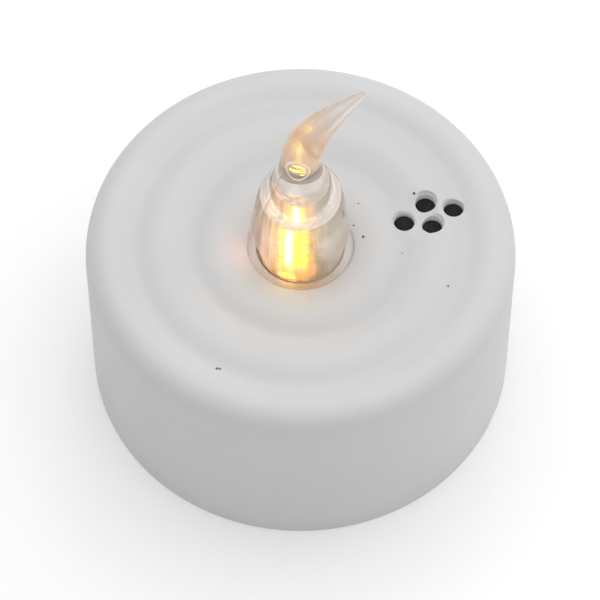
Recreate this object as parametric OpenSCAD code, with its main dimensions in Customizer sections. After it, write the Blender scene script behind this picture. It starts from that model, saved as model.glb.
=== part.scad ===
// Flameless LED tea light with a moulded clear flame and a sound-sensing
// microphone. Millimetres, +Z up. The origin is the middle of the ring that
// the candle stands on; +X points at the group of sound holes.

/* [Shell] */
// Radius of the shell at its foot
foot_r = 18.75; // [18.6:0.05:19]
// Radius of the shell just below the rounded rim
shoulder_r = 18.6; // [18.4:0.05:18.7]
// Height of the shell at the top of its rim
shell_h = 19; // [18.8:0.1:20]
// Height of the straight band at the foot of the shell
foot_band_h = 3; // [2:0.5:4]
// Radius of the rounding between the wall and the rim
rim_round = 2.1; // [1.8:0.1:2.5]
// Thickness of the shell's side wall
wall = 1.2; // [1.1:0.1:1.3]

/* [Rippled top] */
// Radius of the outer ring-shaped valley
outer_valley_r = 14.4; // [14:0.1:14.8]
// Depth of the outer valley below the rim
outer_valley_d = 0.65; // [0.5:0.05:0.8]
// Radius of the ridge between the valleys
ridge_r = 11.9; // [11.6:0.1:12.2]
// Depth of the ridge below the rim
ridge_d = 0.25; // [0.1:0.05:0.4]
// Radius of the inner valley
inner_valley_r = 9.2; // [8.8:0.1:9.6]
// Depth of the inner valley below the rim
inner_valley_d = 1; // [0.9:0.05:1.15]
// Radius of the swelling round the flame
mound_r = 7.2; // [6.8:0.1:7.6]
// Depth of that swelling below the rim
mound_d = 0.75; // [0.6:0.05:0.9]

/* [Flame] */
// Radius of the visible flange of the flame
flange_r = 4.6; // [4.5:0.05:4.7]
// Radius of the flame's body where it meets the flange
flame_foot_r = 3.73; // [3.6:0.05:3.8]
// Largest radius of the flame's body
flame_r = 4.24; // [4.1:0.05:4.3]
// Height of the widest ring above the flange
flame_widest_h = 3; // [2.5:0.1:3.5]
// Height of the flame's body above its flange
flame_body_h = 12.6; // [12.4:0.1:13]
// Height of the flame's tip above its flange
flame_tip_h = 18.6; // [18:0.1:19]
// Distance from the flame's axis to its bent tip
flame_tip_reach = 5.8; // [5.5:0.05:6.5]
// Direction in which the tip bends, from +X towards +Y
flame_turn = 15; // [0:1:30]

/* [Sound holes] */
// Distance from the candle's axis to the middle of the holes
mic_r = 11.45; // [11.3:0.05:11.7]
// Diameter of one sound hole
sound_hole_d = 1.8; // [1.4:0.1:1.9]
// Distance between the two holes on the candle's radius
hole_pair_long = 4.4; // [4:0.1:4.5]
// Distance between the two holes across the radius
hole_pair_short = 2.3; // [2.2:0.1:2.5]

/* [Battery] */
// Thickness of the coin cell
cell_h = 3.2; // [2.5:0.1:3.2]
// Distance of the cell's middle from the candle's axis, towards -Y
cell_offset = 4.4; // [4.3:0.1:4.5]

/* [Switch] */
// Distance of the slide switch from the candle's axis, towards +Y
switch_y = 12.6; // [12.5:0.1:12.7]
// Travel of the switch lever
switch_travel = 2; // [1.6:0.1:2]

/* [Hidden] */
$fn = 96;
e = 0.01;

// Shell
shell_in_r = foot_r - wall;
ceiling_z = shell_h - 2.4;
hole_edge_d = 1.2;
hole_gap = 0.08;
seat_d = 2;
seat_hole_r = 3.85;
seat_boss_r = 5.4;
seat_boss_h = 1.2;
arc_steps = 10;
snap_z = 3.4;
snap_h = 0.8;
rib_in_r = 16.1;
rib_w = 1;
rib_count = 6;
skirt_top_z = 4.6;

// Microphone
mic_can_r = 3;
mic_can_h = 2.7;
felt_h = 0.5;
pocket_wall = 0.8;
pocket_z = shell_h - 1.8;
mic_top_z = pocket_z - felt_h;
dish_r = 5;
dish_x = 9.55;
dish_floor_d = inner_valley_d + 0.1;
wire_r = 0.32;
wire_hole_x = 12.9;
wire_hole_y = 1.27;

// Flame
flange_z = shell_h - 1.25;
flange_h = 0.7;
spigot_r = seat_hole_r - 0.1;
spigot_low = -3.05;
bead_low = -2.86;
bead = 0.22;
horn_steps = 22;
horn_sides = 24;
horn_root_r = 1.86;
horn_r = 1.66;
horn_tip_r = 0.28;
horn_flare = 0.06;
cavity_r = 2.45;
cavity_h = 7.1;
upper_cavity_r = 1.75;
upper_cavity_h = 9.3;

// Diameter of the coin cell, a standard size
cell_d = 20;

// Base
base_z = 0.8;
plate_h = 1.2;
base_r = shell_in_r - 0.15;
well_r = cell_d / 2 + 0.25;
well_wall = 1;
door_r = 11.3;
door_gap = 0.2;
door_h = 1.1;
cell_z = base_z + door_h + 0.2;
cell_top_z = cell_z + cell_h;
well_ceiling_z = cell_top_z + 1;
well_ceiling_h = 1;
ledge_h = 1.05;

// Door hinge and screw
hinge_y = -15.1;
hinge_z = base_z + 0.75;
barrel_r = 0.75;
barrel_l = 9.8;
hinge_pin_r = 0.5;
hinge_bore_r = 0.55;
hinge_pin_l = 1.3;
ear_w = 2;
screw_y = 8.3;
screw_lug_r = 2.6;
screw_lug_h = 1.6;
screw_head_r = 1.65;
screw_head_h = 0.9;
screw_shank_r = 0.85;
screw_bore_r = 0.95;
screw_tip_z = 5.6;
screw_boss_r = 2;

// Board
board_z = 8.1;
board_h = 1;
board_r = 15.2;
board_top_z = board_z + board_h;
post_r = 1.9;
post_x = 12.4;
post_y = 6.2;
board_screw_r = 0.8;

// LED
led_r = 1.5;
led_rim_r = 1.9;
led_rim_h = 0.8;
led_h = 5.3;
led_x = -0.5;
led_z = flange_z - 2.6;
lead_w = 0.5;
lead_x = 1.27;
lead_inside_x = 0.65;
lead_jog_z = 0.25;
cup_z = 2.1;
cup_h = 0.7;

// Switch
switch_l = 8.6;
switch_w = 3.8;
switch_h = 3.5;
metal = 0.3;
switch_z = board_z - switch_h;
lever_w = 1.9;
lever_y = 1.5;
lever_z = base_z + 0.35;
slider_l = 4;
slider_w = 2.6;
slider_h = 1.1;

// Contacts
strip = 0.25;
strip_w = 3;

// Points from a to b on a quarter of a wave, steep at a and level at b
function swell(a, b, n = 5) =
    [for (k = [0 : n]) let (t = k / n) [a[0] + (b[0] - a[0]) * t, a[1] + (b[1] - a[1]) * sin(90 * t)]];

// The same from a level start at a to a steep end at b
function sink(a, b, n = 5) =
    let (points = swell(b, a, n))
    [for (k = [0 : n]) points[n - k]];

// Points on a circular arc about o from angle a0 to angle a1
function arc(o, r, a0, a1, n = arc_steps) =
    [for (i = [0 : n]) let (t = a0 + (a1 - a0) * i / n) o + r * [cos(t), sin(t)]];

// Point at t on a Bezier curve through four control points
function bezier(p, t) =
    pow(1 - t, 3) * p[0] + 3 * t * pow(1 - t, 2) * p[1]
    + 3 * t * t * (1 - t) * p[2] + pow(t, 3) * p[3];

function bezier_way(p, t) =
    let (
        d = 3 * pow(1 - t, 2) * (p[1] - p[0]) + 6 * t * (1 - t) * (p[2] - p[1])
            + 3 * t * t * (p[3] - p[2])
    )
    d / norm(d);

// Closed tube through rings of points, each ring with the same number of sides
module loft(rings) {
    n = len(rings[0]);
    last = len(rings) - 1;
    polyhedron(
        points = [for (ring = rings) each ring],
        faces = concat(
            [[for (i = [0 : n - 1]) i]],
            [for (k = [0 : last - 1], i = [0 : n - 1])
                [k * n + i, (k + 1) * n + i, (k + 1) * n + (i + 1) % n, k * n + (i + 1) % n]],
            [[for (i = [n - 1 : -1 : 0]) last * n + i]]
        )
    );
}

module tube(outer, inner, h) {
    difference() {
        cylinder(r = outer, h = h);
        translate([0, 0, -1]) cylinder(r = inner, h = h + 2);
    }
}

module at_holes() {
    for (p = [[-1, 0], [1, 0], [0, -1], [0, 1]])
        translate([mic_r + p[0] * hole_pair_long / 2, p[1] * hole_pair_short / 2, 0])
            children();
}

// Half section of the shell's skin, solid down to the axis of the flame hole
module shell_outline() {
    valley_out = [outer_valley_r, shell_h - outer_valley_d];
    ridge = [ridge_r, shell_h - ridge_d];
    valley_in = [inner_valley_r, shell_h - inner_valley_d];
    mound = [mound_r, shell_h - mound_d];
    hole_edge = [flange_r + hole_gap, shell_h - hole_edge_d];
    rim_top = [shoulder_r - rim_round, shell_h];
    polygon(concat(
        [[seat_boss_r, ceiling_z], [seat_boss_r, ceiling_z - seat_boss_h]],
        [[seat_hole_r, ceiling_z - seat_boss_h], [seat_hole_r, shell_h - seat_d]],
        [[flange_r + hole_gap, shell_h - seat_d]],
        swell(hole_edge, mound),
        sink(mound, valley_in),
        swell(valley_in, ridge),
        sink(ridge, valley_out),
        swell(valley_out, rim_top),
        arc(rim_top - [0, rim_round], rim_round, 90, 0),
        [[foot_r, foot_band_h], [foot_r, 0], [shell_in_r, 0]],
        [[shell_in_r, snap_z - snap_h / 2], [shell_in_r + 0.3, snap_z - snap_h / 2 + 0.2],
         [shell_in_r + 0.3, snap_z + snap_h / 2 - 0.2], [shell_in_r, snap_z + snap_h / 2]],
        arc([shell_in_r - 1.5, ceiling_z - 1.5], 1.5, 0, 90)
    ));
}

module outer_shell() {
    color("white") difference() {
        union() {
            rotate_extrude() shell_outline();
            // pocket wall round the microphone
            translate([mic_r, 0, pocket_z - mic_can_h - felt_h])
                tube(mic_can_r + pocket_wall, mic_can_r + 0.05, mic_can_h + felt_h - 0.1);
            // stop ribs above the base
            for (i = [0 : rib_count - 1])
                rotate(30 + i * 360 / rib_count)
                    translate([rib_in_r, -rib_w / 2, skirt_top_z + 0.1])
                        cube([shell_in_r - rib_in_r + 0.3, rib_w, ceiling_z - skirt_top_z]);
        }
        // shallow dish in the inner valley beside the sound holes
        translate([dish_x, 0, shell_h - dish_floor_d + dish_r]) sphere(r = dish_r);
        // seat for the felt and microphone
        translate([mic_r, 0, pocket_z - mic_can_h - 1])
            cylinder(r = mic_can_r + 0.05, h = mic_can_h + 1);
        at_holes() translate([0, 0, ceiling_z - 2]) cylinder(d = sound_hole_d, h = 6, $fn = 32);
    }
}

// The flame's bullet-shaped body, flange and spigot as a half section
module flame_section() {
    bullet = [
        [flame_r, flame_widest_h],
        [flame_r - 0.6, flame_body_h - 1.8],
        [horn_root_r + 0.5, flame_body_h - 4],
        [horn_root_r, flame_body_h]
    ];
    polygon(concat(
        [[0, spigot_low], [spigot_r, spigot_low]],
        [[spigot_r, bead_low], [spigot_r + bead, bead_low + bead], [spigot_r, bead_low + 2 * bead]],
        [[spigot_r, -flange_h], [flange_r, -flange_h]],
        arc([flange_r - 0.25, -0.25], 0.25, 0, 90, 5),
        [[flame_foot_r, 0]],
        [for (k = [0 : 20]) bezier(bullet, k / 20)],
        [[0, flame_body_h]]
    ));
}

// Curved horn on top of the flame's body
module flame_horn() {
    way = [
        [0, 0, flame_body_h - 0.2],
        [0, 0, flame_body_h + 3.15],
        [flame_tip_reach * 0.155, 0, flame_tip_h - 1.5],
        [flame_tip_reach, 0, flame_tip_h]
    ];
    rings = [for (k = [0 : horn_steps]) let (
        t = k / horn_steps,
        c = bezier(way, t),
        d = bezier_way(way, t),
        side = [-d[2], 0, d[0]],
        r = horn_r + (horn_tip_r - horn_r) * pow(t, 2.6)
            + (horn_root_r - horn_r) * exp(-t / horn_flare)
    )
    [for (i = [0 : horn_sides - 1]) let (a = 360 * i / horn_sides)
        c + r * (side * cos(a) - [0, 1, 0] * sin(a))]];
    loft(rings);
}

module flame_lens() {
    color("lightyellow", 0.5) translate([0, 0, flange_z]) difference() {
        union() {
            rotate_extrude() flame_section();
            rotate(flame_turn) flame_horn();
        }
        translate([0, 0, spigot_low - 1]) cylinder(r = cavity_r, h = cavity_h - spigot_low + 1);
        translate([0, 0, cavity_h - 1])
            cylinder(r = upper_cavity_r, h = upper_cavity_h - cavity_h + 1);
    }
}

// Outline of the battery door, also used with a gap for its opening
module door_outline(gap) {
    difference() {
        union() {
            translate([0, -cell_offset]) circle(r = door_r + gap);
            translate([-screw_lug_r - gap, 0]) square([2 * (screw_lug_r + gap), screw_y]);
            translate([0, screw_y]) circle(r = screw_lug_r + gap);
        }
        translate([-20, -30]) square([40, 30 + hinge_y - gap * 5]);
    }
}

module battery_door() {
    color("white") difference() {
        union() {
            translate([0, 0, base_z]) linear_extrude(door_h) difference() {
                door_outline(0);
                for (s = [-1, 1])
                    translate([s * (barrel_l / 2 + 5) - 5, -20]) square([10, 6.4]);
                translate([-20, -20]) square([40, 20 + hinge_y]);
            }
            // thicker lug under the screw's head
            translate([0, screw_y, base_z]) cylinder(r = screw_lug_r, h = screw_lug_h);
            translate([-barrel_l / 2, hinge_y, hinge_z]) rotate([0, 90, 0])
                cylinder(r = barrel_r, h = barrel_l);
            translate([-barrel_l / 2 - hinge_pin_l, hinge_y, hinge_z]) rotate([0, 90, 0])
                cylinder(r = hinge_pin_r, h = barrel_l + 2 * hinge_pin_l);
        }
        translate([0, screw_y, base_z - 1]) cylinder(r = screw_bore_r, h = 4);
        translate([0, screw_y, base_z - e])
            cylinder(r1 = screw_head_r + 0.05, r2 = screw_bore_r, h = screw_head_h);
        // grip grooves that show which way the door opens
        for (i = [-2 : 2])
            translate([-3.5, -cell_offset - 0.3 + i * 1.3, base_z - 1]) cube([7, 0.6, 1.35]);
    }
}

module door_screw() {
    color("silver") translate([0, screw_y, 0]) difference() {
        union() {
            translate([0, 0, base_z + 0.05])
                cylinder(r1 = screw_head_r, r2 = screw_shank_r, h = screw_head_h - 0.1);
            translate([0, 0, base_z + 0.5]) cylinder(r = screw_shank_r, h = 2.3);
            translate([0, 0, base_z + 2.8])
                cylinder(r1 = screw_shank_r, r2 = 0.25, h = screw_tip_z - base_z - 2.8);
        }
        // cross recess
        for (a = [0, 90])
            rotate(a) translate([-1, -0.2, base_z - 0.5]) cube([2, 0.4, 1.1]);
    }
}

module base_plate() {
    color("white") difference() {
        union() {
            translate([0, 0, base_z]) cylinder(r = base_r, h = plate_h);
            // skirt with its snap bead
            translate([0, 0, base_z]) tube(base_r, base_r - 1, skirt_top_z - base_z);
            rotate_extrude() polygon([
                [base_r - 0.5, snap_z - 0.35],
                [base_r, snap_z - 0.35],
                [base_r + 0.3, snap_z - 0.1],
                [base_r + 0.3, snap_z + 0.1],
                [base_r, snap_z + 0.35],
                [base_r - 0.5, snap_z + 0.35]
            ]);
            // ledge, wall and ceiling of the battery well
            translate([0, -cell_offset, base_z + door_h + 0.05])
                cylinder(r = door_r + 1, h = ledge_h);
            translate([0, -cell_offset, base_z + door_h + 0.05])
                cylinder(r = well_r + well_wall,
                    h = well_ceiling_z + well_ceiling_h - base_z - door_h - 0.05);
            // screw boss of the door
            translate([0, screw_y, base_z + 1]) cylinder(r = screw_boss_r, h = screw_tip_z - base_z);
            // posts under the circuit board
            for (s = [-1, 1])
                translate([s * post_x, post_y, base_z + 1]) cylinder(r = post_r, h = board_z - base_z - 1);
            translate([0, -13, well_ceiling_z + e])
                cylinder(r = 1.2, h = board_z - well_ceiling_z - e);
            // ears of the door hinge
            for (s = [-1, 1])
                translate([s * (barrel_l / 2 + 0.15 + ear_w / 2) - ear_w / 2, hinge_y - 0.8, base_z])
                    cube([ear_w, 1.9, 2.2]);
        }
        difference() {
            translate([0, 0, base_z - 1]) linear_extrude(door_h + 1.05) door_outline(door_gap);
            for (s = [-1, 1])
                translate([s * (barrel_l / 2 + 0.15 + ear_w / 2) - ear_w / 2, hinge_y - 1.5, base_z - 2])
                    cube([ear_w, 2.6, 5]);
        }
        translate([0, screw_y, base_z - 1]) cylinder(r = screw_lug_r + door_gap, h = screw_lug_h + 1.05);
        // room for the hinge barrel to turn
        translate([-barrel_l / 2 - 0.15, hinge_y - 1, base_z - 1]) cube([barrel_l + 0.3, 2.2, 2.75]);
        translate([-8, hinge_y, hinge_z]) rotate([0, 90, 0]) cylinder(r = hinge_bore_r, h = 16);
        // battery well
        translate([0, -cell_offset, base_z - 1])
            cylinder(r = well_r, h = well_ceiling_z - base_z + 1);
        translate([0, screw_y, base_z]) cylinder(r = screw_bore_r, h = screw_tip_z - base_z + 0.3);
        for (s = [-1, 1])
            translate([s * post_x, post_y, board_z - 4]) cylinder(r = board_screw_r, h = 5);
        // slots for the two battery contacts
        translate([cell_d / 2 - 0.1, -cell_offset - strip_w / 2 - 0.15, cell_z + 0.3])
            cube([0.55, strip_w + 0.3, 8]);
        translate([-7.1, -cell_offset - strip_w / 2 - 0.15, well_ceiling_z - 1])
            cube([0.45, strip_w + 0.3, 4]);
        // window of the switch lever
        translate([-lever_w / 2 - switch_travel / 2 - 0.25, switch_y - lever_y / 2 - 0.25, base_z - 1])
            cube([lever_w + switch_travel + 0.5, lever_y + 0.5, 4]);
        // finger scoop round the window
        translate([-3.4, switch_y - 1.7, base_z - 1]) cube([6.8, 3.4, 1.5]);
    }
}

module cell_can() {
    color("gainsboro") translate([0, -cell_offset, cell_z]) difference() {
        rotate_extrude() polygon(concat(
            [[0, 0]],
            arc([cell_d / 2 - 0.35, 0.35], 0.35, -90, 0, 4),
            arc([cell_d / 2 - 0.3, cell_h - 0.45], 0.3, 0, 90, 4),
            [[8.95, cell_h - 0.15], [8.95, cell_h - 0.45], [9.55, cell_h - 0.45], [9.55, 0.25], [0, 0.25]]
        ));
        // shallow ring pressed into the face of the can
        translate([0, 0, -1]) tube(7.2, 7, 1.05);
    }
}

module cell_gasket() {
    color("ivory") translate([0, -cell_offset, cell_z]) rotate_extrude() polygon([
        [9.15, 0.3], [9.5, 0.3], [9.5, cell_h - 0.5], [8.9, cell_h - 0.5],
        [8.9, cell_h - 0.2], [8.7, cell_h - 0.2], [8.7, cell_h - 0.7], [9.15, cell_h - 0.7]
    ]);
}

module cell_cap() {
    color("silver") translate([0, -cell_offset, cell_z]) rotate_extrude() polygon([
        [0, 0.35], [9.1, 0.35], [9.1, cell_h - 0.75], [8.65, cell_h - 0.75],
        [8.65, cell_h - 0.15], [8.4, cell_h], [0, cell_h]
    ]);
}

// Upright strip that presses on the side of the cell and runs up to the board
module positive_contact() {
    x = cell_d / 2 + 0.02;
    color("goldenrod") translate([0, -cell_offset + strip_w / 2, 0]) rotate([90, 0, 0])
        linear_extrude(strip_w) polygon([
            [x + 0.1, cell_z + 0.5], [x, cell_z + 1.4], [x, cell_z + 1.9], [x + 0.1, cell_z + 2.6],
            [x + 0.1, board_top_z + 0.5], [x + 0.1 + strip, board_top_z + 0.5],
            [x + 0.1 + strip, cell_z + 0.5]
        ]);
}

// Leaf spring that presses on the middle of the cell
module negative_contact() {
    root = -7;
    color("goldenrod") translate([0, -cell_offset + strip_w / 2, 0]) rotate([90, 0, 0])
        linear_extrude(strip_w) polygon([
            [root, board_top_z + 0.5], [root, well_ceiling_z - strip], [root + 2.4, well_ceiling_z - strip],
            [-0.9, cell_top_z + 0.02], [0.6, cell_top_z + 0.02], [1.6, cell_top_z + 0.35],
            [1.5, cell_top_z + 0.6], [0.5, cell_top_z + 0.27], [-0.8, cell_top_z + 0.27],
            [root + 2.5, well_ceiling_z - 0.02], [root + strip, well_ceiling_z - 0.02],
            [root + strip, board_top_z + 0.5]
        ]);
}

module circuit_board() {
    color("tan") difference() {
        translate([0, 0, board_z + 0.02]) cylinder(r = board_r, h = board_h);
        for (s = [-1, 1]) {
            translate([s * post_x, post_y, board_z - 1]) cylinder(r = board_screw_r + 0.2, h = 3);
            translate([led_x + s * lead_x, 0, board_z - 1]) cylinder(r = 0.45, h = 3, $fn = 24);
            translate([wire_hole_x, s * wire_hole_y, board_z - 1]) cylinder(r = 0.4, h = 3, $fn = 24);
        }
        for (i = [-1 : 1])
            translate([i * 2.5, switch_y, board_z - 1]) cylinder(r = 0.5, h = 3, $fn = 24);
        translate([cell_d / 2 + 0.05, -cell_offset - strip_w / 2 - 0.1, board_z - 1])
            cube([0.4, strip_w + 0.2, 3]);
        translate([-7.1, -cell_offset - strip_w / 2 - 0.1, board_z - 1])
            cube([0.45, strip_w + 0.2, 3]);
    }
}

module board_screws() {
    color("silver") for (s = [-1, 1])
        translate([s * post_x, post_y, board_top_z + 0.03]) difference() {
            union() {
                cylinder(r1 = 1.6, r2 = 1.3, h = 0.9);
                translate([0, 0, -4]) cylinder(r = board_screw_r - 0.02, h = 4.1);
            }
            for (a = [0, 90])
                rotate(a) translate([-0.9, -0.18, 0.45]) cube([1.8, 0.36, 1]);
        }
}

// Drop of black resin over the bare chip
module control_chip() {
    color("black") translate([-7.4, 1.2, board_top_z + 0.03]) intersection() {
        translate([0, 0, 1.3 - 4.6]) sphere(r = 4.6);
        cylinder(r = 4, h = 2);
    }
}

module chip_resistors() {
    color("dimgray") for (p = [[3.6, 5.2, 0], [5.6, 5.2, 0], [7.4, -5.6, 90], [3.4, -6.4, 90], [-2.2, 6.6, 0]])
        translate([p[0], p[1], board_top_z + 0.03]) rotate(p[2])
            translate([-0.8, -0.4, 0]) cube([1.6, 0.8, 0.45]);
}

module timing_capacitor() {
    color("midnightblue") translate([-8, 8.2, board_top_z + 0.03]) rotate_extrude() polygon(concat(
        [[0, 0], [1.8, 0], [2, 0.2], [2, 0.7], [1.85, 0.9], [2, 1.1]],
        arc([1.8, 4.8], 0.2, 0, 90, 4),
        [[1.5, 5], [1.5, 4.9], [0, 4.9]]
    ));
}

module drive_transistor() {
    color("black") translate([5.4, -9.2, board_top_z + 0.03]) {
        translate([-1.45, -0.65, 0.1]) cube([2.9, 1.3, 0.9]);
        for (p = [[-0.95, -1], [0.95, -1], [0, 1]])
            translate([p[0] - 0.2, p[1] > 0 ? 0.6 : -1.2, 0]) cube([0.4, 0.6, 0.15]);
    }
}

// Outline of one of the LED's leads, a leg that steps in to a post inside the body;
// grow widens it where the body makes room for it
module lead_outline(side, grow) {
    outer = lead_x + lead_w / 2 + grow;
    leg_in = lead_x - lead_w / 2 - grow;
    post_out = lead_inside_x + lead_w / 2 + grow;
    post_in = lead_inside_x - lead_w / 2 - grow;
    cup_in = side > 0 ? 0.25 - grow : -0.1 - grow;
    foot_z = board_z - 0.8;
    polygon([for (p = [
        [leg_in, foot_z], [outer, foot_z], [outer, led_z + lead_jog_z + lead_w + grow],
        [post_out, led_z + lead_jog_z + lead_w + grow], [post_out, led_z + cup_z - grow],
        [post_out + 0.15, led_z + cup_z - grow], [post_out + 0.15, led_z + cup_z + cup_h + grow],
        [cup_in, led_z + cup_z + cup_h + grow], [cup_in, led_z + cup_z - grow],
        [post_in, led_z + cup_z - grow], [post_in, led_z + lead_jog_z - grow],
        [leg_in, led_z + lead_jog_z - grow]
    ]) [side * p[0], p[1]]]);
}

module lead(side, grow) {
    translate([led_x, lead_w / 2 + grow, 0]) rotate([90, 0, 0])
        linear_extrude(lead_w + 2 * grow) lead_outline(side, grow);
}

module led_leads() {
    color("silver") for (side = [-1, 1]) lead(side, 0);
}

module led_chip() {
    color("gold") translate([led_x - 0.42, -0.15, led_z + cup_z + cup_h + 0.01]) cube([0.3, 0.3, 0.15]);
}

module led_body() {
    color("orange", 0.8) difference() {
        translate([led_x, 0, led_z]) {
            cylinder(r = led_rim_r, h = led_rim_h);
            cylinder(r = led_r, h = led_h - led_r);
            translate([0, 0, led_h - led_r]) sphere(r = led_r);
        }
        for (side = [-1, 1]) lead(side, 0.02);
        translate([led_x - 0.45, -0.18, led_z + cup_z + cup_h - 0.1]) cube([0.36, 0.36, 0.3]);
    }
}

module microphone_can() {
    color("silver") translate([mic_r, 0, mic_top_z - mic_can_h]) difference() {
        cylinder(r = mic_can_r, h = mic_can_h);
        translate([0, 0, -1]) cylinder(r = mic_can_r - 0.2, h = mic_can_h + 0.8);
        cylinder(r = 1, h = mic_can_h + 1);
    }
}

module microphone_backplate() {
    color("seagreen") translate([mic_r, 0, mic_top_z - mic_can_h + 0.1])
        cylinder(r = mic_can_r - 0.22, h = 0.5);
}

module microphone_felt() {
    color("black") translate([mic_r, 0, mic_top_z + 0.01]) cylinder(r = mic_can_r - 0.05, h = felt_h - 0.03);
}

// Short insulated wire from the microphone down to the board, on one side
module microphone_wire(side_y) {
    top_z = mic_top_z - mic_can_h + 0.08;
    way = [
        [mic_r, side_y * 0.9, top_z],
        [mic_r, side_y * 0.9, top_z - 2],
        [wire_hole_x, side_y * wire_hole_y, board_top_z + 2],
        [wire_hole_x, side_y * wire_hole_y, board_z - 0.3]
    ];
    loft([for (k = [0 : 12]) let (
        c = bezier(way, k / 12),
        d = bezier_way(way, k / 12),
        side = [-d[2], 0, d[0]] / norm([-d[2], 0, d[0]])
    )
    [for (i = [0 : 7]) c + wire_r * (side * cos(i * 45) + cross(d, side) * sin(i * 45))]]);
}

module microphone_wire_red() {
    color("red") microphone_wire(1);
}

module microphone_wire_black() {
    color("black") microphone_wire(-1);
}

module switch_housing() {
    color("silver") translate([0, switch_y, switch_z]) difference() {
        translate([-switch_l / 2, -switch_w / 2, 0]) cube([switch_l, switch_w, switch_h - 0.05]);
        translate([-switch_l / 2 + metal, -switch_w / 2 + metal, metal])
            cube([switch_l - 2 * metal, switch_w - 2 * metal, switch_h]);
        translate([-lever_w / 2 - switch_travel / 2 - 0.1, -lever_y / 2 - 0.1, -1])
            cube([lever_w + switch_travel + 0.2, lever_y + 0.2, 2]);
    }
}

module switch_base() {
    color("sienna") translate([0, switch_y, switch_z]) difference() {
        translate([-switch_l / 2 + metal + 0.02, -switch_w / 2 + metal + 0.02, switch_h - 1.15])
            cube([switch_l - 2 * metal - 0.04, switch_w - 2 * metal - 0.04, 1.05]);
        for (i = [-1 : 1])
            translate([i * 2.5 - 0.27, -0.27, 0]) cube([0.54, 0.54, 5]);
    }
}

module switch_pins() {
    color("goldenrod") for (i = [-1 : 1])
        translate([i * 2.5 - 0.25, switch_y - 0.25, switch_z + switch_h - 1.2])
            cube([0.5, 0.5, board_h + 2]);
}

// Lever in its rest place, which is on
module switch_slider() {
    color("black") translate([-switch_travel / 2, switch_y, 0]) {
        translate([-slider_l / 2, -slider_w / 2, switch_z + metal + 0.03])
            cube([slider_l, slider_w, slider_h]);
        difference() {
            translate([-lever_w / 2, -lever_y / 2, lever_z])
                cube([lever_w, lever_y, switch_z + metal + 0.2 - lever_z]);
            for (i = [-1 : 1])
                translate([i * 0.55 - 0.12, -2, lever_z - 1]) cube([0.24, 4, 1.2]);
        }
    }
}

module switch_wiper() {
    z = switch_z + metal + 0.03 + slider_h;
    color("goldenrod") translate([-switch_travel / 2, switch_y + 0.5, 0]) rotate([90, 0, 0])
        linear_extrude(1) polygon([
            [-1.6, z + 0.02], [-1.6, z + 0.14], [-0.9, z + 0.14], [-1.3, z + 0.55], [-1.2, z + 0.62],
            [-0.7, z + 0.17], [0.7, z + 0.17], [1.2, z + 0.62], [1.3, z + 0.55], [0.9, z + 0.14],
            [1.6, z + 0.14], [1.6, z + 0.02]
        ]);
}

// Cones of solder, cut clear of the leads they hold
module solder_joints() {
    color("silver") {
        for (s = [-1, 1])
            translate([led_x + s * lead_x, 0, board_z - 0.6]) difference() {
                cylinder(r1 = 0.45, r2 = 0.85, h = 0.6);
                translate([-0.27, -0.27, -1]) cube([0.54, 0.54, 3]);
            }
        for (i = [-1 : 1])
            translate([i * 2.5, switch_y, board_top_z + 0.03]) difference() {
                cylinder(r1 = 0.85, r2 = 0.5, h = 0.6);
                translate([-0.27, -0.27, -1]) cube([0.54, 0.54, 3]);
            }
        for (s = [-1, 1])
            translate([wire_hole_x, s * wire_hole_y, board_z - 0.6]) difference() {
                cylinder(r1 = 0.4, r2 = 0.75, h = 0.55);
                translate([0, 0, -1]) cylinder(r = 0.34, h = 3);
            }
    }
}

outer_shell();
flame_lens();
base_plate();
battery_door();
door_screw();
cell_can();
cell_gasket();
cell_cap();
positive_contact();
negative_contact();
circuit_board();
board_screws();
control_chip();
chip_resistors();
timing_capacitor();
drive_transistor();
led_body();
led_chip();
led_leads();
microphone_can();
microphone_backplate();
microphone_felt();
microphone_wire_red();
microphone_wire_black();
switch_housing();
switch_base();
switch_pins();
switch_slider();
switch_wiper();
solder_joints();
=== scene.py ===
"""Looks of the flameless LED tea light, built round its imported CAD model.

Metres, +Z up, +X towards the sound holes.
"""

import math

import bmesh
import bpy
from mathutils import Matrix, Vector


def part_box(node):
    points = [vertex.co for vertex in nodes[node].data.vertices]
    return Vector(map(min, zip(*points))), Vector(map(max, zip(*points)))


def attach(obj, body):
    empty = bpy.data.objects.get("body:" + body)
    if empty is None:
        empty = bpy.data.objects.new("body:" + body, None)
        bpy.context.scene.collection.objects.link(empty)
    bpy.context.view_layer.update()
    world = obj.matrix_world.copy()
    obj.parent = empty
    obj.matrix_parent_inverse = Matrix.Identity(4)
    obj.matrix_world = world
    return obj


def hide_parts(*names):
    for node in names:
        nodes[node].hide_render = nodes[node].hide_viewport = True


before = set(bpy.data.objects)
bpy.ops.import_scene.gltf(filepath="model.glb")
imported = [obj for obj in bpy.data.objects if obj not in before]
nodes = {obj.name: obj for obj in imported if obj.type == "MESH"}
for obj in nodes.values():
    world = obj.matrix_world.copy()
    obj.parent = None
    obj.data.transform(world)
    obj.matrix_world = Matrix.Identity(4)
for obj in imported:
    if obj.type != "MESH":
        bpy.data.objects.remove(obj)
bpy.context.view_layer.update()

MM = 0.001
ROOT = "candle_body"

# ---------------------------------------------------------------- sizes, some read from the CAD model

SHELL_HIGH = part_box("outer_shell")[1]
FOOT_R = SHELL_HIGH.x
SHELL_H = SHELL_HIGH.z
FELT_LOW, FELT_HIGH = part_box("microphone_felt")
MIC_R = (FELT_LOW.x + FELT_HIGH.x) / 2

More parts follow.
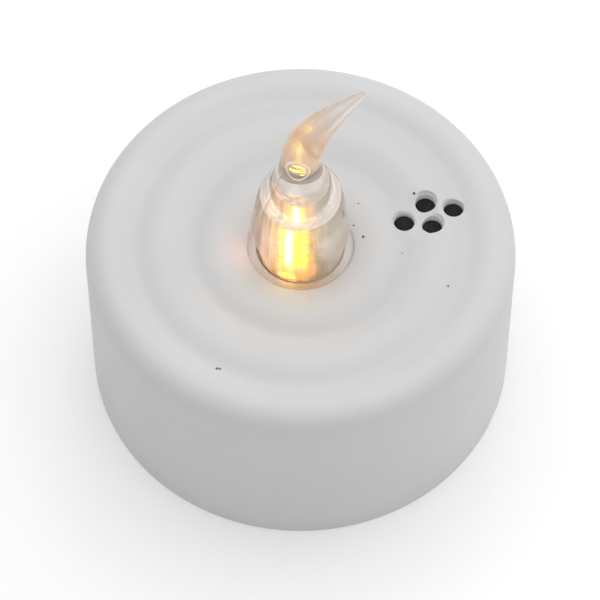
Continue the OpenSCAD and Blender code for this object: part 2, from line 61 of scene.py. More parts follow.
SHOULDER_R = FOOT_R - 0.15 * MM
RIM_ROUND = 2.1 * MM
FOOT_BAND_H = 3 * MM
WALL = 1.2 * MM
CEILING_Z = SHELL_H - 2.4 * MM
POCKET_Z = FELT_HIGH.z + 0.02 * MM
OUTER_VALLEY = (14.4 * MM, SHELL_H - 0.65 * MM)
RIDGE = (11.9 * MM, SHELL_H - 0.25 * MM)
INNER_VALLEY = (9.2 * MM, SHELL_H - 1.0 * MM)
MOUND = (7.2 * MM, SHELL_H - 0.75 * MM)
FLANGE_R = 4.6 * MM
HOLE_R = FLANGE_R + 0.08 * MM
HOLE_EDGE_Z = SHELL_H - 1.2 * MM
SEAT_Z = SHELL_H - 2 * MM
SEAT_HOLE_R = 3.85 * MM
SEAT_BOSS_R = 5.4 * MM
SEAT_BOSS_H = 1.2 * MM
DISH_R = 5 * MM
DISH_X = 9.55 * MM
DISH_FLOOR_Z = INNER_VALLEY[1] - 0.1 * MM
SOUND_HOLE_R = 0.9 * MM
HOLE_PAIR_LONG = 4.4 * MM
HOLE_PAIR_SHORT = 2.3 * MM

FLANGE_Z = SHELL_H - 1.25 * MM
FLANGE_H = 0.7 * MM
SPIGOT_R = SEAT_HOLE_R - 0.1 * MM
FLAME_FOOT_R = 3.73 * MM
FLAME_R = 4.24 * MM
FLAME_WIDEST_H = 3 * MM
BODY_H = 12.6 * MM
TIP_H = 18.6 * MM
TIP_REACH = 5.8 * MM
FLAME_TURN = math.radians(15)
HORN_ROOT_R = 1.86 * MM
HORN_R = 1.66 * MM
HORN_TIP_R = 0.28 * MM
HORN_FLARE = 0.06
CAVITY_R = 2.45 * MM
CAVITY_H = 7.1 * MM
UPPER_CAVITY_R = 1.75 * MM
UPPER_CAVITY_H = 9.3 * MM


# ---------------------------------------------------------------- mesh helpers

def new_object(name, mesh, body):
    """An object in the scene that rides on a CAD body."""
    obj = bpy.data.objects.new(name, mesh)
    bpy.context.scene.collection.objects.link(obj)
    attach(obj, body)
    return obj


def mesh_from(name, verts, faces, smooth_angle=35):
    """A mesh with smooth shading that breaks at edges sharper than the angle."""
    mesh = bpy.data.meshes.new(name)
    mesh.from_pydata([tuple(v) for v in verts], [], faces)
    mesh.validate()
    mesh.update()
    shade(mesh, smooth_angle)
    return mesh


def shade(mesh, smooth_angle):
    bm = bmesh.new()
    bm.from_mesh(mesh)
    bmesh.ops.recalc_face_normals(bm, faces=bm.faces)
    limit = math.radians(smooth_angle)
    for edge in bm.edges:
        edge.smooth = len(edge.link_faces) == 2 and edge.calc_face_angle(0) < limit
    for face in bm.faces:
        face.smooth = True
    bm.to_mesh(mesh)
    bm.free()


def swell(a, b, steps):
    """Points from a to b on a quarter of a wave, steep at a and level at b."""
    out = []
    for k in range(steps + 1):
        t = k / steps
        out.append(Vector((a[0] + (b[0] - a[0]) * t, a[1] + (b[1] - a[1]) * math.sin(math.pi / 2 * t))))
    return out


def arc(o, r, a0, a1, steps):
    """Points on a circular arc about o, angles in degrees."""
    angles = [math.radians(a0 + (a1 - a0) * i / steps) for i in range(steps + 1)]
    return [Vector((o[0] + r * math.cos(t), o[1] + r * math.sin(t))) for t in angles]


def subdivided(points, longest):
    """The same closed outline with no stretch longer than a given length."""
    out = []
    for a, b in zip(points, points[1:] + points[:1]):
        a, b = Vector(a), Vector(b)
        n = max(1, math.ceil((b - a).length / longest))
        out += [a + (b - a) * k / n for k in range(n)]
    return out


def loop_faces(first, second, n):
    return [(first + i, first + (i + 1) % n, second + (i + 1) % n, second + i) for i in range(n)]


def revolve(outline, sides):
    """Vertices and faces of a closed outline of (radius, height) turned about the Z axis."""
    verts = []
    for r, z in outline:
        for i in range(sides):
            t = 2 * math.pi * i / sides
            verts.append((r * math.cos(t), r * math.sin(t), z))
    faces = []
    count = len(outline)
    for k in range(count):
        faces += loop_faces(k * sides, (k + 1) % count * sides, sides)
    return verts, faces


def boolean(obj, cutter, operation):
    """Applies one boolean with a scratch object, which is then removed."""
    mod = obj.modifiers.new(operation, "BOOLEAN")
    mod.operation = operation
    mod.solver = "MANIFOLD"
    mod.object = cutter
    bpy.context.view_layer.update()
    deps = bpy.context.evaluated_depsgraph_get()
    mesh = bpy.data.meshes.new_from_object(obj.evaluated_get(deps))
    obj.modifiers.clear()
    obj.data = mesh
    bpy.data.objects.remove(cutter)


def scratch(verts, faces):
    mesh = mesh_from("scratch", verts, faces)
    obj = bpy.data.objects.new("scratch", mesh)
    bpy.context.scene.collection.objects.link(obj)
    return obj


def turned(outline, sides, x=0.0, y=0.0):
    """A scratch solid turned about an upright axis through x, y.

    Its outline starts and ends on that axis.
    """
    inner = outline[1:-1]
    verts = [(x, y, outline[0][1])]
    for r, z in inner:
        for i in range(sides):
            t = 2 * math.pi * i / sides
            verts.append((x + r * math.cos(t), y + r * math.sin(t), z))
    verts.append((x, y, outline[-1][1]))
    last = len(verts) - 1
    faces = [(0, 1 + (i + 1) % sides, 1 + i) for i in range(sides)]
    for k in range(len(inner) - 1):
        faces += loop_faces(1 + k * sides, 1 + (k + 1) * sides, sides)
    top = 1 + (len(inner) - 1) * sides
    faces += [(last, top + i, top + (i + 1) % sides) for i in range(sides)]
    return scratch(verts, faces)


# ---------------------------------------------------------------- material helpers

class Shader:
    """A node material with its Principled shader, and short calls for the nodes used here."""

    def __init__(self, name):
        self.mat = bpy.data.materials.new(name)
        self.mat.use_nodes = True
        self.tree = self.mat.node_tree
        self.bsdf = self.tree.nodes["Principled BSDF"]
        self.coords = self.tree.nodes.new("ShaderNodeTexCoord")
        self.coord = self.coords.outputs["Object"]

    def set(self, **values):
        for key, value in values.items():
            self.bsdf.inputs[key.replace("_", " ")].default_value = value

    def node(self, kind, **settings):
        node = self.tree.nodes.new(kind)
        for key, value in settings.items():
            if key in node.inputs:
                node.inputs[key].default_value = value
            else:
                setattr(node, key, value)
        return node

    def link(self, a, b):
        self.tree.links.new(a, b)

    def noise(self, scale, detail=3.0, roughness=0.5, stretch=None):
        node = self.node("ShaderNodeTexNoise", Scale=scale, Detail=detail, Roughness=roughness)
        source = self.coord
        if stretch:
            mapping = self.node("ShaderNodeMapping")
            mapping.inputs["Scale"].default_value = stretch
            self.link(source, mapping.inputs["Vector"])
            source = mapping.outputs["Vector"]
        self.link(source, node.inputs["Vector"])
        return node.outputs["Fac"]

    def ramp(self, fac, stops):
        node = self.node("ShaderNodeValToRGB")
        elements = node.color_ramp.elements
        while len(elements) < len(stops):
            elements.new(0.5)
        for element, (place, color) in zip(elements, stops):
            element.position = place
            element.color = (*color, 1) if len(color) == 3 else color
        self.link(fac, node.inputs["Fac"])
        return node.outputs["Color"]

    def grey(self, fac, low, high, start=0.3, stop=0.7):
        return self.ramp(fac, [(start, (low,) * 3), (stop, (high,) * 3)])

    def to(self, socket, output):
        self.link(output, self.bsdf.inputs[socket])

    def bump(self, fac, strength, distance):
        node = self.node("ShaderNodeBump", Strength=strength, Distance=distance)
        self.link(fac, node.inputs["Height"])
        self.link(node.outputs["Normal"], self.bsdf.inputs["Normal"])

    def math(self, operation, a, b=None, clamp=False):
        node = self.node("ShaderNodeMath", operation=operation, use_clamp=clamp)
        for socket, value in zip(node.inputs, (a, b)):
            if value is None:
                continue
            if isinstance(value, (int, float)):
                socket.default_value = value
            else:
                self.link(value, socket)
        return node.outputs["Value"]

    def lerp(self, fac, a, b):
        """A value that goes from a to b as fac goes from 0 to 1."""
        node = self.node("ShaderNodeMix", data_type="FLOAT")
        for socket, value in zip((node.inputs[0], node.inputs[2], node.inputs[3]), (fac, a, b)):
            if isinstance(value, (int, float)):
                socket.default_value = value
            else:
                self.link(value, socket)
        return node.outputs[0]

    def axis(self, name):
        if not hasattr(self, "split"):
            self.split = self.node("ShaderNodeSeparateXYZ")
            self.link(self.coord, self.split.inputs[0])
        return self.split.outputs[name]

    def step(self, value, low, high):
        """0 where a value is at low and 1 where it is at high, with a smooth change between them."""
        node = self.node("ShaderNodeMapRange", interpolation_type="SMOOTHSTEP")
        self.link(value, node.inputs["Value"])
        node.inputs["From Min"].default_value = low
        node.inputs["From Max"].default_value = high
        return node.outputs["Result"]

    def between(self, name, low, high):
        """0 below low on an axis and 1 above high."""
        return self.step(self.axis(name), low, high)

    def radius_below(self, radius, soft):
        """1 nearer the Z axis than radius and 0 outside it."""
        x, y = self.axis("X"), self.axis("Y")
        square = self.math("ADD", self.math("POWER", x, 2), self.math("POWER", y, 2))
        return self.flip(self.step(self.math("SQRT", square), radius - soft, radius + soft))

    def falloff(self, point, reach):
        """1 at a point, fading to 0 at a distance of reach."""
        node = self.node("ShaderNodeVectorMath", operation="DISTANCE")
        self.link(self.coord, node.inputs[0])
        node.inputs[1].default_value = point
        return self.math("SUBTRACT", 1, self.math("DIVIDE", node.outputs["Value"], reach), clamp=True)

    def times(self, first, *rest):
        for value in rest:
            first = self.math("MULTIPLY", first, value)
        return first

    def plus(self, first, *rest):
        for value in rest:
            first = self.math("ADD", first, value)
        return first

    def flip(self, value):
        return self.math("SUBTRACT", 1, value)

    def towards(self, angle, sharpness):
        """1 on the side of the Z axis that faces an angle, fading away from it."""
        x, y = self.axis("X"), self.axis("Y")
        reach = self.math("SQRT", self.plus(self.times(x, x), self.times(y, y)))
        along = self.plus(self.times(x, math.cos(angle)), self.times(y, math.sin(angle)))
        return self.math("POWER", self.math("DIVIDE", along, reach, clamp=True), sharpness)

    def facing_up(self):
        """How far the surface faces up, from -1 to 1."""
        split = self.node("ShaderNodeSeparateXYZ")
        self.link(self.coords.outputs["Normal"], split.inputs[0])
        return split.outputs["Z"]

    def mix(self, fac, a, b):
        node = self.node("ShaderNodeMix", data_type="RGBA")
        factor, color_a, color_b = node.inputs[0], node.inputs[6], node.inputs[7]
        for socket, value in ((factor, fac), (color_a, a), (color_b, b)):
            if isinstance(value, (int, float)):
                socket.default_value = value
            elif isinstance(value, tuple):
                socket.default_value = (*value, 1)
            else:
                self.link(value, socket)
        return node.outputs[2]


def finish_of(obj, shader):
    """Gives an object one material."""
    obj.data.materials.clear()
    obj.data.materials.append(shader.mat)


# ---------------------------------------------------------------- materials

SPECKS = (
    (-9.9, -10.7, 0.26), (-9.64, -10.76, 0.22), (4.9, 0.7, 0.16), (5.4, -0.7, 0.26), (5.8, 2.6, 0.12),
    (8.2, -3.2, 0.14), (11.1, -7.6, 0.2), (10.7, 2.2, 0.24)
)


def white_plastic(name, specks=()):
    """Satin moulded polypropylene with a fine spark-eroded grain and a little dust, and on the shell painted
    shade in the valleys and painted light as emission.
    """
    s = Shader(name)
    s.set(Roughness=0.55, IOR=1.49, Subsurface_Weight=0.1, Subsurface_Scale=0.0012)
    s.bsdf.inputs["Subsurface Radius"].default_value = (1.0, 1.0, 1.0)
    cloud = s.noise(90, 2)
    color = s.ramp(cloud, [(0.3, (0.652, 0.655, 0.662)), (0.7, (0.668, 0.670, 0.678))])
    for x, y, r in specks:
        # a speck on the top face is dark wherever it is upright above or below its place
        flat = s.node("ShaderNodeVectorMath", operation="MULTIPLY")
        s.link(s.coord, flat.inputs[0])
        flat.inputs[1].default_value = (1, 1, 0)
        away = s.node("ShaderNodeVectorMath", operation="DISTANCE")
        s.link(flat.outputs["Vector"], away.inputs[0])
        away.inputs[1].default_value = (x * MM, y * MM, 0)
        ragged = s.math("MULTIPLY", s.noise(9000, 1), 0.16 * MM)
        reach = s.math("ADD", away.outputs["Value"], ragged)
        inside = s.math("LESS_THAN", reach, (r * 0.5 + 0.08) * MM)
        color = s.mix(inside, color, (0.09, 0.08, 0.08))
    if specks:
        # painted shade: the top skin is made darker in rings inside its two valleys
        color = s.mix(painted_valley_shade(s), color, (0.5, 0.5, 0.505))
    s.to("Base Color", color)
    s.to("Roughness", s.grey(s.noise(400, 3), 0.5, 0.62))
    grain = s.noise(5200, 3, 0.6)
    s.bump(grain, 0.12, 0.00006)
    if specks:
        # painted light: emission beside the flame, in the sound holes and on the seat wall
        paint_light_on_shell(s)
    return s


def painted_valley_shade(s):
    """Painted shade: how much darker the top skin is made, in rings just inside its two valleys."""
    inner = s.times(s.radius_below(INNER_VALLEY[0] + 0.2 * MM, 0.6 * MM),
                    s.flip(s.radius_below(INNER_VALLEY[0] - 1.2 * MM, 1.4 * MM)), 0.36)
    outer = s.times(s.radius_below(OUTER_VALLEY[0] - 0.1 * MM, 0.8 * MM),
                    s.flip(s.radius_below(OUTER_VALLEY[0] - 1.5 * MM, 1.2 * MM)), 0.24)
    return s.times(s.plus(inner, outer), s.between("Z", POCKET_Z, POCKET_Z + 0.1 * MM))


def paint_light_on_shell(s):
    """Painted light as emission: the flame's glow on the skin beside it, and a pale glow on the walls of the
    sound holes and of the flame's seat.
    """
    beside = s.falloff((-5.1 * MM, 0.2 * MM, FLANGE_Z), 3.4 * MM)
    warm = s.times(s.math("POWER", beside, 1.5), 0.24)
    upright = s.flip(s.step(s.facing_up(), 0.4, 0.7))
    in_holes = s.times(upright, s.between("Z", POCKET_Z - 0.1 * MM, POCKET_Z),
                       s.between("X", 8.3 * MM, 8.5 * MM), s.flip(s.between("X", 14.7 * MM, 14.9 * MM)),
                       s.flip(s.between("Y", 2.5 * MM, 2.7 * MM)), s.between("Y", -2.7 * MM, -2.5 * MM))
    seat_wall = s.times(s.radius_below(HOLE_R + 0.1 * MM, 0.05 * MM), upright,
                        s.between("Z", SEAT_Z - 0.1 * MM, SEAT_Z))
    pale = s.plus(s.times(in_holes, 0.1), s.times(seat_wall, 0.2))
    total = s.plus(warm, pale)
    s.to("Emission Color", s.mix(s.math("DIVIDE", warm, s.plus(total, 0.001)), (1, 1, 1), (1.0, 0.42, 0.25)))
    s.to("Emission Strength", total)


# the side where the LED's painted light is strongest, and the side of the painted pale glow
LIT_SIDE = math.radians(237)
SHADED_SIDE = math.radians(330)


def clear_plastic():
    """Clear polystyrene, hazy in its horn, with turning marks in its bore and the LED's light in it painted
    as emission and as warm tints of its colour.
    """
    s = Shader("clear_polystyrene")
    s.set(IOR=1.5)
    floor_z, roof_z = FLANGE_Z + CAVITY_H, FLANGE_Z + UPPER_CAVITY_H
    in_horn = s.between("Z", FLANGE_Z + BODY_H - 0.6 * MM, FLANGE_Z + BODY_H + 0.6 * MM)
    in_bore = s.times(s.radius_below(CAVITY_R + 0.12 * MM, 0.1 * MM),
                      s.flip(s.between("Z", roof_z, roof_z + 0.3 * MM)))
    outside = s.times(s.flip(in_bore), s.flip(in_horn))
    shoulder = s.times(s.between("Z", floor_z - 0.35 * MM, floor_z - 0.2 * MM),
                       s.radius_below(CAVITY_R + 0.05 * MM, 0.02 * MM),
                       s.flip(s.between("Z", floor_z + 0.1 * MM, floor_z + 0.2 * MM)))
    roof = s.times(s.between("Z", roof_z - 0.15 * MM, roof_z - 0.02 * MM),
                   s.radius_below(UPPER_CAVITY_R + 0.1 * MM, 0.05 * MM),
                   s.flip(s.between("Z", roof_z + 0.1 * MM, roof_z + 0.3 * MM)))
    flange = s.times(s.flip(s.radius_below(FLAME_FOOT_R + 0.2 * MM, 0.05 * MM)),
                     s.flip(s.between("Z", FLANGE_Z + 0.02 * MM, FLANGE_Z + 0.1 * MM)))
    gate = (-0.66 * MM, -1.48 * MM, FLANGE_Z + 13.87 * MM)
    to_gate = s.falloff(gate, 2 * MM)
    ring = s.times(s.step(to_gate, 0.41, 0.47), s.flip(s.step(to_gate, 0.51, 0.58)))

    # painted light of the LED in the wall of the bore, as emission: a hot streak on the lit side, with
    # yellow and orange round it
    hatch = s.grey(s.noise(4200, 3, stretch=(0.25, 0.25, 1)), 0.5, 1.4, 0.4, 0.62)
    drawn = s.grey(s.noise(2600, 2, stretch=(1, 1, 0.06)), 0.4, 1.6, 0.38, 0.64)
    lower = s.times(s.between("Z", FLANGE_Z + 1.5 * MM, FLANGE_Z + 2.6 * MM),
                    s.flip(s.between("Z", floor_z - 1.2 * MM, floor_z)), in_bore)
    upper = s.times(s.between("Z", floor_z, floor_z + 0.3 * MM), in_bore,
                    s.flip(s.between("Z", roof_z - 0.5 * MM, roof_z - 0.25 * MM)))
    hot = s.plus(s.times(s.towards(LIT_SIDE, 260), lower, 1.7),
                 s.times(s.towards(LIT_SIDE + 0.18, 200), upper, 1.2))
    warm = s.times(s.plus(s.times(s.towards(LIT_SIDE + 0.12, 14), lower, 1.7),
                          s.times(s.towards(LIT_SIDE + 0.2, 14), upper, 0.6)), hatch)
    haze_glow = s.times(s.towards(LIT_SIDE - 0.25, 1.3), in_bore, drawn, 0.46)
    # painted light: a glowing bar low in the flame, near the LED
    bar = s.times(s.falloff((-2.0 * MM, -3.25 * MM, FLANGE_Z + 0.7 * MM), 0.95 * MM),
                  s.between("Z", FLANGE_Z + 0.3 * MM, FLANGE_Z + 0.5 * MM))

    # painted light in the horn, as emission: two streaks on its lit side broken into thin veins, and a glow
    # on its underside
    light_veins = s.grey(s.noise(1300, 3, stretch=(1, 1, 0.2)), 0.15, 1.7, 0.42, 0.62)
    low_streak = s.falloff((-0.5 * MM, -0.8 * MM, FLANGE_Z + 16.1 * MM), 1.2 * MM)
    high_streak = s.falloff((0.9 * MM, 0.0 * MM, FLANGE_Z + 17.7 * MM), 1.0 * MM)
    streaks = s.plus(s.math("POWER", low_streak, 2), s.math("POWER", high_streak, 2))
    horn_hot = s.times(streaks, light_veins, in_horn, 0.45)
    side = s.falloff((-1.2 * MM, -0.3 * MM, FLANGE_Z + 15.0 * MM), 5.2 * MM)
    below = s.step(s.facing_up(), 0.3, -0.4)
    horn_warm = s.times(s.plus(s.times(side, 0.03), s.times(below, 0.1)), in_horn)
    # painted light: a striped glow round the gate
    stripes = s.grey(s.noise(3500, 1, stretch=(0.15, 0.15, 1)), 0.0, 2.2, 0.46, 0.58)
    spot = s.times(s.step(to_gate, 0.6, 0.7), stripes)

    yellow = s.plus(warm, s.times(bar, 2.4), horn_hot, s.times(spot, 0.7))
    orange = s.plus(haze_glow, horn_warm)
    lit = s.math("MULTIPLY", warm, 1.6, clamp=True)
    root = s.times(s.between("Z", FLANGE_Z + BODY_H - 1.6 * MM, FLANGE_Z + BODY_H - 1.0 * MM),
                   s.flip(s.between("Z", FLANGE_Z + BODY_H, FLANGE_Z + BODY_H + 0.6 * MM)))
    # painted glow: pale emission on the outside of the flame's shaded side
    shaded_side_glow = s.times(s.towards(SHADED_SIDE, 1), outside, s.flip(flange))
    # painted light: pale emission on the gate ring, shoulder, bore, horn root and shaded side
    pale = s.plus(s.times(ring, 0.14), s.times(shoulder, 0.06),
                  s.times(in_bore, s.flip(lit), 0.02),
                  s.times(root, 0.1), s.times(shaded_side_glow, 0.085))
    total = s.plus(hot, yellow, orange, pale)
    color = s.mix(s.math("DIVIDE", orange, total, clamp=True), (1.0, 0.66, 0.0), (1.0, 0.5, 0.2))
    color = s.mix(s.math("DIVIDE", s.plus(hot, pale), s.plus(total, 0.05), clamp=True), color,
                  (0.98, 0.94, 0.98))
    s.to("Emission Color", color)
    s.to("Emission Strength", total)

    clear = s.lerp(in_horn, s.lerp(in_bore, s.lerp(flange, 0.93, 0.6), 0.82), 0.72)
    cloudy = s.math("MAXIMUM", ring, s.math("MAXIMUM", shoulder, roof))
    s.to("Transmission Weight", s.lerp(cloudy, clear, 0.3))
    s.to("Roughness", s.lerp(in_horn, s.lerp(in_bore, 0.02, 0.16), 0.2))
    # painted light: the horn's base colour is warmer on its lit side
    horn_glow_tint = s.mix(s.math("POWER", side, 0.7), (0.94, 0.89, 0.85), (0.92, 0.71, 0.53))
    base = s.mix(in_horn, s.mix(outside, (0.96, 0.945, 0.95), (0.99, 0.985, 0.99)), horn_glow_tint)
    base = s.mix(roof, base, (0.74, 0.70, 0.69))
    # painted light: the flange's base colour is orange on its lit side
    base = s.mix(s.times(flange, s.towards(LIT_SIDE + 0.4, 5)), base, (0.96, 0.74, 0.52))
    # painted light: the base colour turns yellow where the bore's glow is painted
    s.to("Base Color", s.mix(lit, base, (1.0, 0.72, 0.04)))
    flow = s.times(s.noise(420, 2, stretch=(1, 1, 0.3)), 0.35)
    marks = s.times(s.noise(9000, 2, stretch=(0.06, 0.06, 1)), in_bore, 0.35)
    s.bump(s.math("ADD", flow, marks), 0.12, 0.0002)
    return s


def metal(name, color, rough, streak=(1, 1, 1), scale=900):
    """Plated metal with brushed or drawn streaks."""
    s = Shader(name)
    dark = tuple(c * 0.86 for c in color)
    s.set(Metallic=1.0)
    fac = s.noise(scale, 4, stretch=streak)
    s.to("Base Color", s.ramp(fac, [(0.3, dark), (0.7, color)]))
    s.to("Roughness", s.grey(fac, rough * 0.8, rough * 1.3))
    s.bump(fac, 0.08, 0.00003)
    return s


def moulded(name, color, rough, coat=0.0, scale=1500, depth=0.00004):
    """A moulded or coated part in one colour with its fine grain."""
    s = Shader(name)
    s.set(Coat_Weight=coat, Coat_Roughness=0.15)
    light = tuple(min(1, c * 1.18 + 0.004) for c in color)
    s.to("Base Color", s.ramp(s.noise(scale * 0.2, 3), [(0.3, color), (0.7, light)]))
    s.to("Roughness", s.grey(s.noise(scale * 0.4, 3), rough * 0.85, min(1, rough * 1.15)))
    s.bump(s.noise(scale, 3), 0.2, depth)
    return s


# ---------------------------------------------------------------- the shell

def top_outline():
    """The skin of the shell's top from the flame hole out to the wall."""
    rim_top = (SHOULDER_R - RIM_ROUND, SHELL_H)
    points = swell((HOLE_R, HOLE_EDGE_Z), MOUND, 12)
    points += swell(INNER_VALLEY, MOUND, 12)[-2::-1]
    points += swell(INNER_VALLEY, RIDGE, 12)[1:]
    points += swell(OUTER_VALLEY, RIDGE, 12)[-2::-1]
    points += swell(OUTER_VALLEY, rim_top, 12)[1:]
    points += arc((SHOULDER_R - RIM_ROUND, SHELL_H - RIM_ROUND), RIM_ROUND, 90, 0, 20)[1:]
    return softened(points, 8)


def softened(points, rounds):
    """Rounds the creases of an open outline a little, leaving its ends in place."""
    for _ in range(rounds):
        middle = [(a + b * 2 + c) / 4 for a, b, c in zip(points, points[1:], points[2:])]
        points = [points[0], *middle, points[-1]]
    return points


def shell_outline():
    inside_r = FOOT_R - WALL
    # the groove that the base snaps into
    low, high = 3.0 * MM, 3.8 * MM
    deep = 0.3 * MM
    slope = 0.2 * MM
    points = top_outline()
    points += [(FOOT_R, FOOT_BAND_H)]
    points += arc((FOOT_R - 0.15 * MM, 0.15 * MM), 0.15 * MM, 0, -90, 4)
    points += [(inside_r, 0)]
    points += [(inside_r, low), (inside_r + deep, low + slope)]
    points += [(inside_r + deep, high - slope), (inside_r, high)]
    points += arc((inside_r - 1.5 * MM, CEILING_Z - 1.5 * MM), 1.5 * MM, 0, 90, 8)
    boss_z = CEILING_Z - SEAT_BOSS_H
    points += [(SEAT_BOSS_R, CEILING_Z), (SEAT_BOSS_R, boss_z), (SEAT_HOLE_R, boss_z)]
    points += [(SEAT_HOLE_R, SEAT_Z), (HOLE_R, SEAT_Z), (HOLE_R, HOLE_EDGE_Z - 0.1 * MM)]
    return points


def dished(x, y, z):
    """Height of the top skin where the dish beside the sound holes lowers it, with a soft edge."""
    away = math.hypot(x - DISH_X, y)
    if away > 3 * MM:
        return z
    dish = DISH_FLOOR_Z + DISH_R - math.sqrt(max(DISH_R ** 2 - away ** 2, 0))
    soft = 0.12 * MM
    t = max(0.0, min(1.0, 0.5 + (z - dish) / (2 * soft)))
    return z + (dish - z) * t - soft * t * (1 - t)


def hole_places():
    for dx, dy in ((-1, 0), (1, 0), (0, -1), (0, 1)):
        yield MIC_R + dx * HOLE_PAIR_LONG / 2, dy * HOLE_PAIR_SHORT / 2


def surface_height(x, y, outline):
    """Height of the dished top skin at a place."""
    r = math.hypot(x, y)
    for a, b in zip(outline, outline[1:]):
        if a[0] <= r <= b[0]:
            z = a[1] + (b[1] - a[1]) * (r - a[0]) / (b[0] - a[0])
            return dished(x, y, z)
    return SHELL_H


def build_shell():
    sides = 288
    outline = subdivided(shell_outline(), 0.55 * MM)
    verts, faces = revolve(outline, sides)
    verts = [(x, y, dished(x, y, z) if z > POCKET_Z else z) for x, y, z in verts]
    obj = new_object("shell_skin", mesh_from("shell_skin", verts, faces), ROOT)
    outline_top = top_outline()
    add_inner_rings(obj)
    for x, y in hole_places():
        z = surface_height(x, y, outline_top)
        flare = 0.14 * MM
        rounding = [(SOUND_HOLE_R + flare - p.x, z - flare + p.y) for p in arc((0, 0), flare, 0, 90, 5)]
        cutter = [(0, POCKET_Z - MM), (SOUND_HOLE_R, POCKET_Z - MM), *rounding]
        cutter += [(SOUND_HOLE_R + flare, z + MM), (0, z + MM)]
        boolean(obj, turned(cutter, 48, x, y), "DIFFERENCE")
    shade(obj.data, 30)
    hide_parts("outer_shell")
    finish_of(obj, white_plastic("white_polypropylene", SPECKS))


def build_felt_bulges():
    """The felt swells part of the way up into each sound hole."""
    felt = moulded("felt_in_holes", (0.004, 0.003, 0.003), 0.95, 0, 5000, 0.0002)
    r, low = SOUND_HOLE_R - 0.03 * MM, FELT_HIGH.z - 0.05 * MM
    for k, (x, y) in enumerate(hole_places()):
        top = FELT_HIGH.z + 0.55 * (surface_height(x, y, top_outline()) - FELT_HIGH.z)
        crown = [(r * math.cos(a), top - 0.2 * MM * (1 - math.sin(a)))
                 for a in (0.0, 0.3, 0.6, 0.9, 1.2, 1.4)]
        solid = turned([(0, low), (r, low), *crown, (0, top)], 48, x, y)
        bulge = new_object(f"felt_bulge_{k + 1}", solid.data, ROOT)
        bpy.data.objects.remove(solid)
        finish_of(bulge, felt)


def add_inner_rings(obj):
    """The microphone pocket and the stop ribs, under the top."""
    def ring(outer, inner, low, high, x=0.0):
        outline = [(outer, low), (outer, high), (inner, high), (inner, low)]
        verts, faces = revolve(outline, 96)
        return scratch([(a + x, b, c) for a, b, c in verts], faces)

    can_low, can_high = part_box("microphone_can")
    can_r = (can_high.x - can_low.x) / 2 + 0.05 * MM
    boolean(obj, ring(can_r + 0.75 * MM, can_r, can_low.z, CEILING_Z + 0.1 * MM, MIC_R), "UNION")
    bore = [(0, can_low.z - MM), (can_r, can_low.z - MM), (can_r, POCKET_Z), (0, POCKET_Z)]
    boolean(obj, turned(bore, 96, MIC_R), "DIFFERENCE")
    rib_low, rib_in_r, rib_half = 4.7 * MM, 16.1 * MM, 0.5 * MM
    xs, ys, zs = (rib_in_r, FOOT_R - WALL + 0.3 * MM), (-rib_half, rib_half), (rib_low, CEILING_Z + 0.1 * MM)
    for k in range(6):
        turn = Matrix.Rotation(math.radians(30 + 60 * k), 3, "Z")
        verts = [turn @ Vector((x, y, z)) for z in zs for y in ys for x in xs]
        faces = [(0, 2, 3, 1), (4, 5, 7, 6), (0, 1, 5, 4), (2, 6, 7, 3), (0, 4, 6, 2), (1, 3, 7, 5)]
        boolean(obj, scratch(verts, faces), "UNION")


# ---------------------------------------------------------------- the flame

def bezier(points, t):
    a, b, c, d = (Vector(p) for p in points)
    return a * (1 - t) ** 3 + b * 3 * t * (1 - t) ** 2 + c * 3 * t * t * (1 - t) + d * t ** 3


def horn_rings(angles):
    """Rings along the horn from its root to its tip, and the point at its very end."""
    way = [(0, 0, BODY_H - 0.2 * MM), (0, 0, BODY_H + 3.15 * MM),
           (TIP_REACH * 0.155, 0, TIP_H - 1.5 * MM), (TIP_REACH, 0, TIP_H)]
    steps = 44
    spines = []
    for k in range(steps + 1):
        t = k / steps
        ahead = (bezier(way, min(t + 0.01, 1)) - bezier(way, max(t - 0.01, 0))).normalized()
        r = HORN_R + (HORN_TIP_R - HORN_R) * t ** 2.6 + (HORN_ROOT_R - HORN_R) * math.exp(-t / HORN_FLARE)
        spines.append((bezier(way, t), ahead, r))
    end, ahead, r = spines[-1]
    for a in (20, 40, 60, 78):
        t = math.radians(a)
        spines.append((end + ahead * r * math.sin(t), ahead, r * math.cos(t)))
    rings = []
    for center, ahead, r in spines:
        side = Vector((ahead.z, 0, -ahead.x))
        ring = []
        for t in angles:
            grown = r + seam_at(t) * min(1, r / MM)
            ring.append(center + grown * (side * math.cos(t) + Vector((0, 1, 0)) * math.sin(t)))
        rings.append(ring)
    return rings, end + ahead * r


def seam_angles():
    """Angles round the flame, with a few more either side of the mould's parting line."""
    fine = [math.radians(a) for a in (-1.2, -0.6, 0, 0.6, 1.2)]
    half = [math.radians(a) for a in range(4, 177, 4)]
    return fine + half + [math.pi + a for a in fine] + [math.pi + a for a in half]


def seam_at(angle):
    """Height of the parting line's ridge, which runs round the flame in the plane of its bend."""
    off = abs(math.sin(angle)) / math.sin(math.radians(0.7))
    return 0.045 * MM * max(0, 1 - off)


